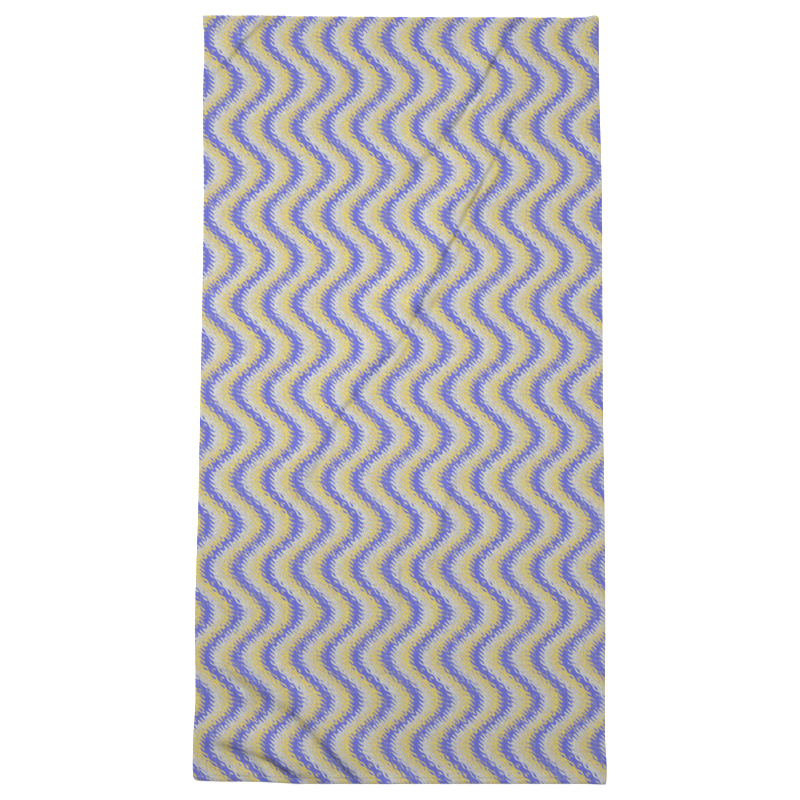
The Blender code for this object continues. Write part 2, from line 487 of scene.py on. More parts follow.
MAIN_CREASES = (
    Crease("upper", steep=0.019, gentle=0.060, crisp_share=0.5, stations=(
        Station(0.2350, 0.7120, 0.0038),
        Station(0.2000, 0.6790, 0.0050),
        Station(0.1850, 0.6480, 0.0064),
        Station(0.1473, 0.5774, 0.0086),
        Station(0.1240, 0.5410, 0.0062),
        Station(0.1014, 0.5095, 0.0044),
        Station(0.0372, 0.4361, 0.0040),
        Station(-0.0087, 0.3810, 0.0),
    )),
    Crease("main", steep=0.020, gentle=0.090, crisp_share=0.5, stations=(
        Station(0.2160, 0.6250, 0.0),
        Station(0.2030, 0.5300, 0.0046),
        Station(0.1841, 0.4673, 0.0070),
        Station(0.1253, 0.3516, 0.0080),
        Station(0.0684, 0.2378, 0.0074),
        Station(0.0005, 0.1092, 0.0060),
        Station(-0.0730, 0.0211, 0.0050),
        Station(-0.1226, -0.0468, 0.0048),
        Station(-0.1611, -0.1294, 0.0038),
        Station(-0.2107, -0.2121, 0.0),
    )),
    Crease("beside_main", steep=0.014, gentle=0.022, stations=(
        Station(0.2100, 0.5200, 0.0),
        Station(0.2000, 0.4580, 0.0018),
        Station(0.1840, 0.4210, 0.0036),
        Station(0.1450, 0.3460, 0.0024),
        Station(0.1030, 0.2650, 0.0024),
        Station(0.0750, 0.2010, 0.0024),
        Station(0.0380, 0.1360, 0.0022),
        Station(-0.0080, 0.0630, 0.0020),
        Station(-0.0380, 0.0250, 0.0),
    )),
    Crease("lower_left_long", steep=0.026, gentle=0.085, crisp_share=0.5, stations=(
        Station(-0.0660, -0.7150, 0.0084),
        Station(-0.1090, -0.6680, 0.0106),
        Station(-0.1690, -0.6060, 0.0090),
        Station(-0.2010, -0.5740, 0.0068),
        Station(-0.2380, -0.5500, 0.0054),
        Station(-0.2930, -0.5140, 0.0038),
        Station(-0.3390, -0.4910, 0.0028),
        Station(-0.3610, -0.4700, 0.0),
    )),
    Crease("lower_left_corner", steep=0.028, gentle=0.066, crisp_share=0.5, stations=(
        Station(-0.1200, -0.6980, 0.0),
        Station(-0.1600, -0.6960, 0.0056),
        Station(-0.1930, -0.6900, 0.0088),
        Station(-0.2380, -0.6640, 0.0088),
        Station(-0.2750, -0.6500, 0.0082),
        Station(-0.3210, -0.6360, 0.0062),
        Station(-0.3460, -0.6320, 0.0036),
        Station(-0.3700, -0.6300, 0.0),
    )),
    Crease("upper_left_corner", steep=0.016, gentle=0.035, stations=(
        Station(-0.2280, 0.7200, 0.0045),
        Station(-0.2933, 0.6509, 0.0052),
        Station(-0.3520, 0.5780, 0.0),
    )),
    Crease("upper_right_corner", steep=0.012, gentle=0.018, stations=(
        Station(0.3460, 0.5480, 0.0),
        Station(0.3370, 0.5760, 0.0036),
        Station(0.3220, 0.6080, 0.0056),
        Station(0.3000, 0.6520, 0.0072),
        Station(0.2800, 0.7000, 0.0052),
        Station(0.2740, 0.7150, 0.0044),
    )),
    Crease("middle_right", steep=0.015, gentle=0.036, stations=(
        Station(0.1200, -0.1100, 0.0),
        Station(0.0831, -0.2029, 0.0038),
        Station(0.0700, -0.2600, 0.0036),
        Station(0.0400, -0.3500, 0.0),
    )),
    Crease("middle_left", steep=0.014, gentle=0.034, stations=(
        Station(0.0060, -0.1100, 0.0),
        Station(-0.0040, -0.1900, 0.0030),
        Station(0.0000, -0.3300, 0.0044),
        Station(-0.0014, -0.4250, 0.0),
    )),
)

# Too low to matter in the solids: they only catch the light
FAINT_CREASES = (
    Crease("lower_middle", steep=0.014, gentle=0.030, stations=(
        Station(0.0850, -0.3850, 0.0),
        Station(0.0620, -0.4250, 0.0016),
        Station(0.0350, -0.4850, 0.0018),
        Station(0.0280, -0.5450, 0.0),
    )),
    Crease("left_upright", steep=0.012, gentle=0.026, stations=(
        Station(-0.2380, -0.2000, 0.0),
        Station(-0.2390, -0.2700, 0.0020),
        Station(-0.2430, -0.3900, 0.0022),
        Station(-0.2430, -0.4950, 0.0),
    )),
    Crease("pinch_across_upper", steep=0.008, gentle=0.010, stations=(
        Station(0.1200, 0.4560, 0.0),
        Station(0.1060, 0.4780, 0.0020),
        Station(0.0940, 0.4940, 0.0026),
        Station(0.0820, 0.5060, 0.0),
    )),
    Crease("glint_on_upper", steep=0.018, gentle=0.016, stations=(
        Station(0.0700, 0.5020, 0.0),
        Station(0.0840, 0.5180, 0.0034),
        Station(0.0960, 0.5340, 0.0034),
        Station(0.1180, 0.5600, 0.0),
    )),
    Crease("buckle_beside_main", steep=0.010, gentle=0.012, stations=(
        Station(0.0800, 0.3260, 0.0),
        Station(0.0800, 0.3520, 0.0034),
        Station(0.0960, 0.3680, 0.0036),
        Station(0.1200, 0.3870, 0.0030),
        Station(0.1480, 0.4180, 0.0),
    )),
    Crease("bright_kink", steep=0.018, gentle=0.030, stations=(
        Station(0.0060, 0.1640, 0.0),
        Station(0.0200, 0.1830, 0.0062),
        Station(0.0390, 0.2080, 0.0066),
        Station(0.0530, 0.2280, 0.0),
    )),
    Crease("beside_kink", steep=0.010, gentle=0.014, stations=(
        Station(0.0560, 0.2600, 0.0),
        Station(0.0360, 0.2350, 0.0024),
        Station(0.0120, 0.2060, 0.0),
    )),
    Crease("right_of_main", steep=0.012, gentle=0.060, stations=(
        Station(0.1500, 0.3560, 0.0),
        Station(0.1780, 0.3880, 0.0020),
        Station(0.1960, 0.4160, 0.0020),
        Station(0.2040, 0.4480, 0.0),
    )),
    Crease("right_of_kink", steep=0.012, gentle=0.060, stations=(
        Station(0.0760, 0.1440, 0.0),
        Station(0.0920, 0.1720, 0.0016),
        Station(0.0990, 0.2000, 0.0014),
        Station(0.1120, 0.2300, 0.0),
    )),
    Crease("crest_on_long", steep=0.030, gentle=0.010, stations=(
        Station(-0.2530, -0.5610, 0.0),
        Station(-0.2680, -0.5500, 0.0022),
        Station(-0.2840, -0.5320, 0.0028),
        Station(-0.2990, -0.5140, 0.0028),
        Station(-0.3160, -0.4950, 0.0),
    )),
    Crease("second_crest_on_long", steep=0.030, gentle=0.010, stations=(
        Station(-0.1930, -0.5780, 0.0),
        Station(-0.2000, -0.5590, 0.0026),
        Station(-0.2110, -0.5410, 0.0026),
        Station(-0.2240, -0.5190, 0.0),
    )),
    Crease("fork_below_long", steep=0.010, gentle=0.016, stations=(
        Station(-0.2840, -0.5640, 0.0),
        Station(-0.2960, -0.5480, 0.0020),
        Station(-0.3120, -0.5300, 0.0),
    )),
    Crease("upper_middle", steep=0.024, gentle=0.050, stations=(
        Station(-0.0250, 0.6750, 0.0),
        Station(-0.0700, 0.6180, 0.0022),
        Station(-0.1150, 0.5720, 0.0018),
        Station(-0.1450, 0.5300, 0.0),
    )),
    Crease("left_edge_fold", steep=0.012, gentle=0.026, stations=(
        Station(-0.2600, 0.2500, 0.0),
        Station(-0.2960, 0.1960, 0.0014),
        Station(-0.3220, 0.1520, 0.0010),
        Station(-0.3450, 0.1200, 0.0),
    )),
    Crease("corner_fork", steep=0.010, gentle=0.018, stations=(
        Station(-0.2400, -0.7160, 0.0020),
        Station(-0.2490, -0.6900, 0.0032),
        Station(-0.2650, -0.6680, 0.0030),
        Station(-0.2820, -0.6520, 0.0),
    )),
    Crease("corner_ridge", steep=0.012, gentle=0.026, stations=(
        Station(-0.3040, -0.6600, 0.0),
        Station(-0.2860, -0.6740, 0.0040),
        Station(-0.2680, -0.6920, 0.0046),
        Station(-0.2540, -0.7100, 0.0036),
    )),
    Crease("left_lower", steep=0.013, gentle=0.028, stations=(
        Station(-0.2800, -0.4450, 0.0),
        Station(-0.3120, -0.4000, 0.0013),
        Station(-0.3480, -0.3480, 0.0012),
        Station(-0.3800, -0.3000, 0.0),
    )),
    Crease("left_of_upper", steep=0.016, gentle=0.020, stations=(
        Station(0.1020, 0.5980, 0.0),
        Station(0.0850, 0.5580, 0.0044),
        Station(0.0660, 0.5380, 0.0034),
        Station(0.0420, 0.5200, 0.0),
    )),
    Crease("right_of_upper", steep=0.012, gentle=0.010, stations=(
        Station(0.1740, 0.6120, 0.0),
        Station(0.1540, 0.5600, 0.0024),
        Station(0.1360, 0.5260, 0.0026),
        Station(0.1180, 0.4960, 0.0),
    )),
    Crease("ridge_right_of_upper", steep=0.010, gentle=0.024, stations=(
        Station(0.1260, 0.4900, 0.0),
        Station(0.1440, 0.5200, 0.0018),
        Station(0.1700, 0.5540, 0.0018),
        Station(0.1860, 0.5900, 0.0),
    )),
)


@dataclass
class ClothForm:
    """The heights of the towel's two faces above the surface that it lies on.

    The relief is the share of its stations' heights that each crease really has.
    """

    outline: Outline = field(default_factory=Outline)
    creases: tuple[Crease, ...] = MAIN_CREASES + FAINT_CREASES
    relief: float = 0.8
    cloth_thickness: float = 0.003
    hem_thickness: float = 0.0038
    hem_width: float = 0.011
    stitch_inset: float = 0.0102
    stitch_groove: float = 0.0002
    stitch_groove_reach: float = 0.0022
    hem_fall_reach: float = 0.0140
    hem_crown: float = 0.0002
    under_step: float = 0.0009
    under_step_reach: float = 0.0012
    ripple: float = 0.00028
    ripple_lengths: tuple[float, ...] = (0.210, 0.133, 0.087, 0.059)
    pucker: float = 0.00022
    pucker_lengths: tuple[float, ...] = (0.071, 0.043, 0.029)
    waves_per_length: int = 3
    seed: int = 7

    def lift(self, points: Numbers) -> Numbers:
        """Measures how far the creases lift the cloth at each point."""
        return self.relief * sum(crease.lift(points) for crease in self.creases)

    def round_fold(self, inset: Numbers) -> Numbers:
        """Measures how far the hem's rounded outer fold stands from its own middle height.

        Args:
            inset: How far each point lies inside the towel's edge.

        Returns:
            Nothing at the edge, and half the hem's thickness from there on inwards.
        """
        radius = self.hem_thickness / 2
        from_centre = np.clip(radius - inset, 0.0, radius)
        return np.sqrt(radius * radius - from_centre * from_centre)

    def hem_profile(self, inset: Numbers) -> Numbers:
        """Shapes the upper face across the hem: its rounded fold, crown, stitch groove and step.

        Args:
            inset: How far each point lies inside the towel's edge.

        Returns:
            The cloth's upper face above its underside.
        """
        fold = self.hem_thickness / 2 + self.round_fold(inset)
        crown = self.hem_crown * np.sin(math.pi * np.clip(inset / self.stitch_inset, 0.0, 1.0))
        past_stitch = inset - self.stitch_inset
        fallen = 1.0 - half_wave(past_stitch / self.hem_fall_reach)
        down = (self.hem_thickness - self.cloth_thickness) * fallen
        groove = self.stitch_groove * half_wave(np.abs(past_stitch) / self.stitch_groove_reach)
        return fold + crown - down - groove

    def under_profile(self, inset: Numbers) -> Numbers:
        """Shapes the underside across the hem: its rounded fold and the line where it ends.

        Args:
            inset: How far each point lies inside the towel's edge.

        Returns:
            The underside above the surface where no crease lifts it.
        """
        fold = self.hem_thickness / 2 - self.round_fold(inset)
        step = self.under_step * half_wave(np.abs(inset - self.hem_width) / self.under_step_reach)
        return fold + step

    def waves(self, points: Numbers, lengths: tuple[float, ...]) -> Numbers:
        """Adds soft waves of several lengths in fixed odd directions, from -1 to 1.

        Args:
            points: Places seen from above.
            lengths: The waves' lengths.

        Returns:
            Their mean at each point.
        """
        chance = np.random.default_rng(self.seed)
        total = np.zeros(len(points))
        for length in lengths:
            for _ in range(self.waves_per_length):
                turn, start = chance.uniform(0.0, TURN, 2)
                way = np.array([math.cos(turn), math.sin(turn)])
                total += np.sin(points @ way * TURN / length + start)
        return total / (self.waves_per_length * len(lengths))

    def height(self, face: Face, points: Numbers, inset: Numbers) -> Numbers:
        """Gives the height of one face.

        Args:
            face: Which face of the cloth.
            points: Places seen from above.
            inset: How far each lies inside the towel's edge.

        Returns:
            The heights above the surface.
        """
        if face is Face.UNDER:
            return self.lift(points) + self.under_profile(inset)
        uneven = self.ripple * self.waves(points, self.ripple_lengths)
        at_hem = half_wave(np.abs(inset - self.hem_width / 2) / self.hem_width)
        puckered = self.pucker * at_hem * self.waves(points, self.pucker_lengths)
        inside = np.clip(inset / self.hem_thickness, 0.0, 1.0)
        return self.lift(points) + self.hem_profile(inset) + inside * (uneven + puckered)


@dataclass(frozen=True)
class WavyPrint:
    """The print: wavy stripes along the towel, whose edges are feathered by a fine slanting hatch.

    Each stripe goes round from periwinkle through pale grey to yellow. The hatch is one small
    cell of ripples over and over. It shifts the stripes to and fro by a few millimetres, across
    the towel and along it, so their edges break into slanting strokes and small linked eyes.
    The first stripe and the wave's start are shares of a stripe and of a wave, and the hatch's
    starts and step are degrees. The dye bleeds a little, in a fine grain.
    """

    stripe_pitch: float = 54.98 * MM
    first_stripe: float = 0.935
    swing: float = 28.9 * MM
    wave_length: float = 162.6 * MM
    wave_start: float = 0.0892
    hatch_cell: float = 16.03 * MM
    hatch: tuple[HatchWave, ...] = (
        HatchWave(turns=0, reach=1.4 * MM, start=-78.0),
        HatchWave(turns=1, reach=4.0 * MM, start=22.0),
        HatchWave(turns=2, reach=3.7 * MM, start=-110.0),
        HatchWave(turns=3, reach=1.75 * MM, start=99.0),
        HatchWave(turns=4, reach=0.5 * MM, start=120.0),
    )
    other_turns: int = 2
    lengthwise_start: float = 86.0
    lengthwise_step: float = 138.0
    row_start: float = -105.0
    row_tint: tuple[float, float, float] = (0.03, 0.08, -0.06)
    bleed: float = 0.5 * MM
    bleed_grain: float = 1.6 * MM
    stops: tuple[RampStop, ...] = (
        RampStop(0.00, "6d70d3"),
        RampStop(0.11, "7476d0"),
        RampStop(0.18, "a0a2c6"),
        RampStop(0.23, "c8cacb"),
        RampStop(0.27, "d4d5ce"),
        RampStop(0.36, "c9c8c4"),
        RampStop(0.46, "cac5b4"),
        RampStop(0.54, "d0c48e"),
        RampStop(0.62, "d4c37c"),
        RampStop(0.73, "ddcc74"),
        RampStop(0.77, "cabc80"),
        RampStop(0.83, "9694ac"),
        RampStop(0.89, "7276ce"),
        RampStop(1.00, "6d70d3"),
    )

    def hatched(self, tree: bpy.types.NodeTree, place: Source) -> Source:
        """Shifts places by the hatch: the same ripples across the towel and, turned, along it.

        Args:
            tree: The material's node tree.
            place: The place on the flat cloth, in metres.

        Returns:
            The shifted place.
        """
        in_cell = {0: place, "Scale": TURN / self.hatch_cell}
        turn = add_node(tree, "VectorMath", in_cell, operation="SCALE")
        parts = add_node(tree, "SeparateXYZ", {0: turn})
        crossed = add_node(tree, "CombineXYZ", {"X": parts.outputs["Y"], "Y": parts.outputs["X"]})
        shifted = place
        for wave in self.hatch:
            lengthwise = self.lengthwise_start + self.lengthwise_step * wave.turns - wave.start
            starts = (math.radians(wave.start), math.radians(lengthwise), 0.0)
            own = {0: turn, 1: (wave.turns, wave.turns, 0.0), 2: starts}
            slow = add_node(tree, "VectorMath", own, operation="MULTIPLY_ADD")
            other = {0: crossed, 1: (self.other_turns, self.other_turns, 0.0), 2: slow}
            angle = add_node(tree, "VectorMath", other, operation="MULTIPLY_ADD")
            ripple = add_node(tree, "VectorMath", {0: angle}, operation="COSINE")
            shift = {0: ripple, 1: (wave.reach, wave.reach, 0.0), 2: shifted}
            shifted = add_node(tree, "VectorMath", shift, operation="MULTIPLY_ADD")
        return shifted

    def colour(self, tree: bpy.types.NodeTree, place: Source) -> Source:
        """Draws the print.

        Args:
            tree: The material's node tree.
            place: The place on the flat cloth, in metres.

        Returns:
            The print's colour.
        """
        fine = {"Vector": place, "Scale": 1.0 / self.bleed_grain}
        grain = add_node(tree, "TexNoise", fine, noise_dimensions="2D")
        # The noise lies round a half, and the bleed to both sides of none
        off_middle = {0: grain.outputs["Color"], 1: (0.5, 0.5, 0.5)}
        centred = add_node(tree, "VectorMath", off_middle, operation="SUBTRACT")
        bled = {0: centred, 1: (self.bleed, self.bleed, 0.0), 2: self.hatched(tree, place)}
        spread = add_node(tree, "VectorMath", bled, operation="MULTIPLY_ADD")
        parts = add_node(tree, "SeparateXYZ", {0: spread})
        along = {0: parts.outputs["Y"], 1: -TURN / self.wave_length, 2: TURN * self.wave_start}
        bend_turn = add_node(tree, "Math", along, operation="MULTIPLY_ADD")
        bend = add_node(tree, "Math", {0: bend_turn}, operation="COSINE")
        across = {0: parts.outputs["X"], 1: 1.0 / self.stripe_pitch, 2: self.first_stripe}
        phase = add_node(tree, "Math", across, operation="MULTIPLY_ADD")
        bent = {0: bend, 1: self.swing / self.stripe_pitch, 2: phase}
        total = add_node(tree, "Math", bent, operation="MULTIPLY_ADD")
        share = add_node(tree, "Math", {0: total}, operation="FRACT")
        ramp = add_node(tree, "ValToRGB", {"Fac": share})
        elements = ramp.color_ramp.elements
        elements.remove(elements[1])
        elements[0].position = self.stops[0].place
        elements[0].color = linear(self.stops[0].colour)
        for stop in self.stops[1:]:
            elements.new(stop.place).color = linear(stop.colour)
        return self.in_rows(tree, place, ramp)

    def in_rows(self, tree: bpy.types.NodeTree, place: Source, colour: Source) -> Source:
        """Tints the print by the fine slanting rows of its hatch, now greener and now more violet.

        Args:
            tree: The material's node tree.
            place: The place on the flat cloth, in metres.
            colour: The print's colour there.

        Returns:
            The tinted colour.
        """
        rate = self.other_turns * TURN / self.hatch_cell
        turn = add_node(tree, "VectorMath", {0: place, 1: (rate, rate, 0.0)}, operation="DOT_PRODUCT")
        started = {0: turn.outputs["Value"], 1: math.radians(self.row_start)}
        angle = add_node(tree, "Math", started, operation="ADD")
        row = add_node(tree, "Math", {0: angle}, operation="COSINE")
        near_one = {0: row, 1: self.row_tint, 2: (1.0, 1.0, 1.0)}
        tint = add_node(tree, "VectorMath", near_one, operation="MULTIPLY_ADD")
        return add_node(tree, "VectorMath", {0: colour, 1: tint}, operation="MULTIPLY")


@dataclass(frozen=True)
class TerryPile:
    """Cotton terry pile, looped on the loom: matt, with small soft bumps and a faint mottle.

    The loops lie over in short slanting rows. At a step away they only break up the light. No
    two take the dye quite alike: each has its own fleck of colour, and one that takes more
    blue takes less yellow, which is the trade between them. The slant is in degrees.
    """

    loop_width: float = 1.3 * MM
    loop_length: float = 2.3 * MM
    loop_slant: float = -50.0
    loop_height: float = 0.35 * MM
    loop_disorder: float = 0.8
    loop_softness: float = 0.3
    mottle_size: float = 3.0 * MM
    mottle_detail: float = 4.0
    mottle_roughness: float = 0.8
    mottle_range: tuple[float, float] = (0.25, 0.75)
    mottle: float = 0.12
    fleck: tuple[float, float, float] = (0.0, 0.32, 0.3)
    trade: tuple[float, float, float] = (-0.3, -0.13, 0.45)
    roughness_low: float = 0.88
    roughness_high: float = 1.0
    sheen: float = 0.15
    sheen_roughness: float = 0.6
    ior: float = 1.45
    specular: float = 0.15

    def mottled(self, tree: bpy.types.NodeTree, place: Source) -> Source:
        """Draws the pile's faint mottle.

        Args:
            tree: The material's node tree.
            place: The place on the flat cloth, in metres.

        Returns:
            The brightness, round 1.
        """
        soft = {
            "Vector": place,
            "Scale": 1.0 / self.mottle_size,
            "Detail": self.mottle_detail,
            "Roughness": self.mottle_roughness,
        }
        noise = add_node(tree, "TexNoise", soft, noise_dimensions="2D")
        low, high = self.mottle_range
        spread = {
            "Value": noise.outputs["Fac"],
            "From Min": low,
            "From Max": high,
            "To Min": 1.0 - self.mottle,
            "To Max": 1.0 + self.mottle,
        }
        return add_node(tree, "MapRange", spread)

    def loops(self, tree: bpy.types.NodeTree, place: Source) -> bpy.types.Node:
        """Draws the loops in their slanting rows.

        Args:
            tree: The material's node tree.
            place: The place on the flat cloth, in metres.

        Returns:
            The node that gives the distance from each loop's middle and its chance colour.
        """
        lying = {
            "Vector": place,
            "Rotation": (0.0, 0.0, math.radians(self.loop_slant)),
            "Scale": (self.loop_length, self.loop_width, 1.0),
        }
        cells = {
            "Vector": add_node(tree, "Mapping", lying, vector_type="TEXTURE"),
            "Scale": 1.0,
            "Randomness": self.loop_disorder,
            "Smoothness": self.loop_softness,
        }
        return add_node(tree, "TexVoronoi", cells, voronoi_dimensions="2D", feature="SMOOTH_F1")

    def dress(
        self, material: bpy.types.Material, place: Source, colour: Source | tuple[float, ...]
    ) -> None:
        """Adds the pile's shader to a material.

        Args:
            material: The material, whose tree holds no shader yet.
            place: The place on the flat cloth, in metres.
            colour: The cloth's colour before the pile's mottle.
        """
        tree = material.node_tree
        brightness = self.mottled(tree, place)
        loops = self.loops(tree, place)
        chances = add_node(tree, "SeparateXYZ", {0: loops.outputs["Color"]})
        # Both kinds of fleck leave the cloth's mean colour as it is
        middle = tuple(1.0 - (own + traded) / 2 for own, traded in zip(self.fleck, self.trade))
        trades = {0: chances.outputs["X"], 1: self.trade, 2: middle}
        traded = add_node(tree, "VectorMath", trades, operation="MULTIPLY_ADD")
        takes = {0: loops.outputs["Color"], 1: self.fleck, 2: traded}
        uptake = add_node(tree, "VectorMath", takes, operation="MULTIPLY_ADD")
        flecked = add_node(tree, "VectorMath", {0: colour, 1: uptake}, operation="MULTIPLY")
        piled = add_node(tree, "VectorMath", {0: flecked, "Scale": brightness}, operation="SCALE")
        domed = {"Strength": 1.0, "Distance": self.loop_height, "Height": loops.outputs["Distance"]}
        rough = {
            "Value": loops.outputs["Distance"],
            "To Min": self.roughness_low,
            "To Max": self.roughness_high,
        }
        pile = {
            "Base Color": piled,
            "Roughness": add_node(tree, "MapRange", rough),
            "Metallic": 0.0,
            "IOR": self.ior,
            "Specular IOR Level": self.specular,
            "Sheen Weight": self.sheen,
            "Sheen Roughness": self.sheen_roughness,
            "Normal": add_node(tree, "Bump", domed, invert=True),
        }
        add_node(tree, "OutputMaterial", {"Surface": add_node(tree, "BsdfPrincipled", pile)})


@dataclass(frozen=True)
class PrintedTerry:
    """Printed cotton terry: the dye sits on the pile's tips, so the print is matt and a little soft."""

    map_name: str
    print_face: WavyPrint = WavyPrint()
    pile: TerryPile = TerryPile()

    def material(self) -> bpy.types.Material:
        """Makes the printed face's material.

        Returns:
            The material.
        """
        material = new_material("printed_cotton_terry")
        place = add_node(material.node_tree, "UVMap", uv_map=self.map_name)
        self.pile.dress(material, place, self.print_face.colour(material.node_tree, place))
        return material


@dataclass(frozen=True)
class PlainTerry:
    """Undyed cotton terry, as the underside of printed towelling is: warm white, with longer loops."""

    map_name: str
    colour: str = "e6e3da"
    pile: TerryPile = TerryPile(
        loop_width=2.0 * MM,
        loop_length=2.4 * MM,
        loop_height=0.7 * MM,
        mottle=0.06,
        fleck=(0.06, 0.06, 0.08),
        trade=(0.0, 0.0, 0.0),
    )

    def material(self) -> bpy.types.Material:
        """Makes the underside's material.

        Returns:
            The material.
        """
        material = new_material("undyed_cotton_terry")
        place = add_node(material.node_tree, "UVMap", uv_map=self.map_name)
        self.pile.dress(material, place, linear(self.colour)[:3])
        return material


@dataclass(frozen=True)
class SewingThread:
    """Spun polyester sewing thread: pale, with a soft gleam and a slanting twist.

    The real twist is about 0.3 mm long. It is drawn at 0.8 mm, so that it can show at all. Its grooves
    are painted in a darker colour as shade, besides their bump.
    """

    colour: str = "c6c2b6"
    # The darker colour painted into the twist's grooves as shade
    twist_groove_painted_shade: str = "a8a49a"
    twist: float = 0.8 * MM
    # Along any one axis, a diagonal wave turns by ten radians a metre at a scale of 1
    wave_rate: float = 10.0
    roughness: float = 0.6
    sheen: float = 0.2
    bump: float = 0.04 * MM

    def material(self) -> bpy.types.Material:
        """Makes the thread's material.

        Returns:
            The material.
        """
        material = new_material("polyester_sewing_thread")
        tree = material.node_tree
        place = add_node(tree, "TexCoord").outputs["Object"]
        turns = {"Vector": place, "Scale": TURN / (self.wave_rate * self.twist)}
        wave = add_node(tree, "TexWave", turns, wave_type="BANDS", bands_direction="DIAGONAL")
        twist = wave.outputs["Fac"]
        # The Mix node's colours go in at 6 and 7, and their mix comes out at 2: the twist's grooves get
        # the darker colour as painted shade
        painted_twist_shading = {"Factor": twist, 6: linear(self.twist_groove_painted_shade), 7: linear(self.colour)}
        thread = {
            "Base Color": add_node(tree, "Mix", painted_twist_shading, data_type="RGBA").outputs[2],
            "Roughness": self.roughness,
            "Sheen Weight": self.sheen,
            "Normal": add_node(tree, "Bump", {"Distance": self.bump, "Height": twist}),
        }
        add_node(tree, "OutputMaterial", {"Surface": add_node(tree, "BsdfPrincipled", thread)})
        return material


@dataclass
class TerryCloth:
    """The towel itself: one closed sheet of terry with its hem turned under all round."""

    form: ClothForm = field(default_factory=ClothForm)
    name: str = "terry_cloth"
    cut_width: float = 0.762
    cut_length: float = 1.422
    fold_angles: tuple[float, ...] = (10.0, 30.0, 50.0, 70.0, 90.0)
    hem_lines: tuple[float, ...] = (0.0046, 0.0070, 0.0087, 0.0095, 0.0102, 0.0109, 0.0118, 0.0135)
    cell: float = 0.0093
    fine_margin: float = 0.002
    fine_rise: float = 0.0010
    fine_passes: int = 2
    # A point's mark is 1 on the upper face and 0 on the underside, and a wall's are between
    upper_mark: float = 0.5
    touching: float = 0.00001
    map_name: str = "flat_cloth"
    inset_name: str = "inset"
    face_name: str = "upper_face"

    def inset_lines(self) -> Numbers:
        """Lists how far inside the edge the mesh's lines along the hem run.

        Returns:
            The insets, closer together round the hem's outer fold and by its stitch groove.
        """
        radius = self.form.hem_thickness / 2
        round_fold = [radius * (1.0 - math.cos(math.radians(angle))) for angle in self.fold_angles]
        return np.array(round_fold + list(self.hem_lines))

    def grid_lines(self, width: float) -> Numbers:
        """Spaces the mesh's lines between two facing edges.

        Args:
            width: How far apart the edges are.

        Returns:
            For each line, its share of the way between the edges and the metres added to that.
        """
        near = self.inset_lines()
        inside = round((width - 2.0 * near[-1]) / self.cell)
        share = np.linspace(0.0, 1.0, inside + 1)[1:-1]
        weights = np.concatenate([np.zeros(len(near)), share, np.ones(len(near))])
        steps = np.concatenate([near, near[-1] * (1.0 - 2.0 * share), -near[::-1]])
        return np.stack([weights, steps], axis=1)

    def lay_out(self, bm: bmesh.types.BMesh) -> None:
        """Makes the cloth's plan as a flat grid, and notes how far inside the edge each point is.

        Args:
            bm: The empty mesh to fill.
        """
        outline = self.form.outline
        columns, rows = self.grid_lines(self.cut_width), self.grid_lines(self.cut_length)
        across, along = len(columns) - 1, len(rows) - 1
        half_wide = 0.5
        bmesh.ops.create_grid(bm, x_segments=across, y_segments=along, size=half_wide)
        inset_layer = bm.verts.layers.float.new(self.inset_name)
        verts = list(bm.verts)
        shares = np.array([vert.co.xy for vert in verts]) + half_wide
        at = np.rint(shares * (across, along)).astype(int)
        points = outline.between(columns[at[:, 0]], rows[at[:, 1]])
        insets = outline.insets(points).min(axis=1)
        for vert, point, inset in zip(verts, outline.rounded(points), insets):
            vert.co = (*point, 0.0)
            vert[inset_layer] = inset

    def thicken(self, bm: bmesh.types.BMesh) -> None:
        """Gives the flat plan its upper face, and marks that face's points.

        Args:
            bm: The cloth's plan.
        """
        face_layer = bm.verts.layers.float.new(self.face_name)
        extruded = bmesh.ops.extrude_face_region(bm, geom=list(bm.faces), use_keep_orig=True)
        upper = [item for item in extruded["geom"] if isinstance(item, bmesh.types.BMVert)]
        bmesh.ops.translate(bm, verts=upper, vec=(0.0, 0.0, self.form.cloth_thickness))
        for vert in upper:
            vert[face_layer] = 1.0
        bmesh.ops.recalc_face_normals(bm, faces=bm.faces)

    def faces_near_creases(self, bm: bmesh.types.BMesh) -> set[bmesh.types.BMFace]:
        """Finds the faces on or beside a crease's steep side.

        Args:
            bm: The thickened cloth, still flat.

        Returns:
            Those faces.
        """
        faces = list(bm.faces)
        centres = np.array([face.calc_center_median().xy for face in faces])
        near = np.zeros(len(faces), bool)
        for crease in self.form.creases:
            near |= crease.on_steep_side(centres, self.fine_margin, self.fine_rise)
        return {face for face, is_near in zip(faces, near) if is_near}

    def refine(self, bm: bmesh.types.BMesh) -> None:
        """Divides the upper face's cells inside the hem, and those by the creases once more.

        Args:
            bm: The thickened cloth, still flat.
        """
        inset_layer = bm.verts.layers.float[self.inset_name]
        face_layer = bm.verts.layers.float[self.face_name]
        inside = self.inset_lines()[-1] - self.touching
        for number in range(self.fine_passes):
            is_first = number == 0
            chosen = self.faces_near_creases(bm)
            edges = set()
            for face in bm.faces:
                upper = [vert[face_layer] > self.upper_mark for vert in face.verts]
                on_top = all(upper)
                is_wall = any(upper) and not on_top
                in_hem = any(vert[inset_layer] < inside for vert in face.verts)
                whole = is_first and on_top and not in_hem
                by_crease = face in chosen and not is_wall and (on_top or is_first)
                if whole or by_crease:
                    edges.update(face.edges)
            bmesh.ops.subdivide_edges(bm, edges=list(edges), cuts=1, use_grid_fill=True)

    def raise_faces(self, mesh: bpy.types.Mesh) -> None:
        """Lifts the flat cloth's two faces to their heights.

        Args:
            mesh: The flat cloth.
        """
        places = read_all(mesh.vertices, "co", np.float32, 3)
        points = places[:, :2].astype(float)
        inset, upper = self.notes(mesh)
        is_upper = upper > self.upper_mark
        for face, on_it in ((Face.UPPER, is_upper), (Face.UNDER, ~is_upper)):
            places[on_it, 2] = self.form.height(face, points[on_it], inset[on_it])
        mesh.vertices.foreach_set("co", places.ravel())

